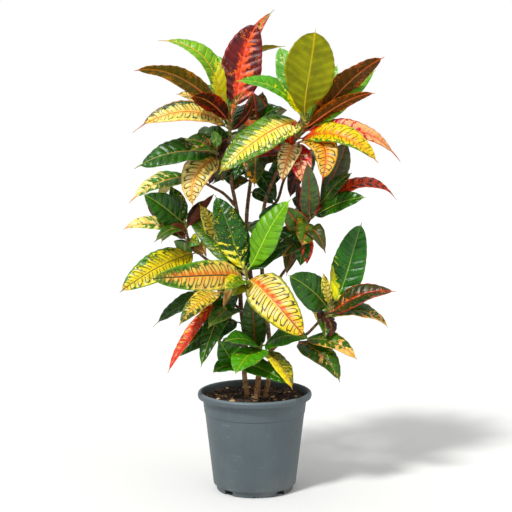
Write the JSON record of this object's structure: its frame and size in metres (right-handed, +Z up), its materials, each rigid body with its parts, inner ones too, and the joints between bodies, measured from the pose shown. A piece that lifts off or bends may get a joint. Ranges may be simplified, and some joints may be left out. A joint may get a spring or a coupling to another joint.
{
  "type": "potted croton",
  "caption": "Potted croton: woody cuttings with side shoots and leathery variegated leaves, in a tapered round nursery pot with soil.",
  "frame": {"origin": "under the middle of the whole plant's spread, on the surface that the pot stands on; the pot's own axis is 11 mm towards -X and 4 mm towards -Y from it", "axes": "+Z up along the pot's axis, -Y towards the side that the picture was taken from, +X to that view's right"},
  "size_m": [0.5013, 0.3094, 0.8784],
  "materials": {
    "pot": "matte",
    "soil": "matte",
    "bark": "matte",
    "leaf_bright": "satin",
    "leaf_brown": "satin",
    "leaf_coral": "satin",
    "leaf_dark": "satin",
    "leaf_green": "satin",
    "leaf_lime": "satin",
    "leaf_maroon": "satin",
    "leaf_olive": "satin",
    "leaf_orange": "satin",
    "leaf_pale": "satin",
    "leaf_red": "satin",
    "leaf_yellow": "satin"
  },
  "bodies": {
    "root": {"pot": "pot", "soil": "soil", "stem_left": "bark", "stem_centre": "bark", "stem_right": "bark", "left_crown_leaf_1": "leaf_lime", "left_crown_leaf_2": "leaf_brown", "left_crown_leaf_3": "leaf_maroon", "left_crown_leaf_4": "leaf_yellow", "left_crown_leaf_5": "leaf_coral", "left_crown_leaf_6": "leaf_coral", "left_crown_leaf_7": "leaf_olive", "right_crown_leaf_1": "leaf_olive", "right_crown_leaf_2": "leaf_pale", "right_crown_leaf_3": "leaf_brown", "right_crown_leaf_4": "leaf_brown", "right_crown_leaf_5": "leaf_yellow", "right_crown_leaf_6": "leaf_orange", "right_crown_leaf_7": "leaf_orange", "right_crown_leaf_8": "leaf_coral", "right_crown_leaf_9": "leaf_yellow", "right_crown_leaf_10": "leaf_bright", "upper_left_leaf_1": "leaf_green", "upper_left_leaf_2": "leaf_yellow", "upper_left_leaf_3": "leaf_pale", "middle_left_leaf_1": "leaf_green", "middle_left_leaf_2": "leaf_lime", "middle_left_leaf_3": "leaf_yellow", "front_leaf_1": "leaf_bright", "front_leaf_2": "leaf_green", "front_leaf_3": "leaf_yellow", "front_leaf_4": "leaf_orange", "front_leaf_5": "leaf_yellow", "lower_right_leaf_1": "leaf_green", "lower_right_leaf_2": "leaf_green", "lower_right_leaf_3": "leaf_dark", "lower_right_leaf_4": "leaf_green", "lower_right_leaf_5": "leaf_green", "lower_right_leaf_6": "leaf_green", "foot_leaf_1": "leaf_green", "foot_leaf_2": "leaf_bright", "foot_leaf_3": "leaf_yellow", "lower_left_leaf_1": "leaf_green", "lower_left_leaf_2": "leaf_yellow", "lower_left_leaf_3": "leaf_red", "lower_left_leaf_4": "leaf_green", "lower_left_leaf_5": "leaf_green", "middle_right_leaf_1": "leaf_red", "middle_right_leaf_2": "leaf_dark", "middle_right_leaf_3": "leaf_green", "middle_right_leaf_4": "leaf_dark", "middle_right_leaf_5": "leaf_dark", "rear_leaf_1": "leaf_green", "rear_leaf_2": "leaf_yellow", "rear_leaf_3": "leaf_green", "rear_leaf_4": "leaf_yellow", "rear_leaf_5": "leaf_dark", "rear_leaf_6": "leaf_green", "rear_leaf_7": "leaf_green", "rear_leaf_8": "leaf_green"}
  },
  "joints": []
}
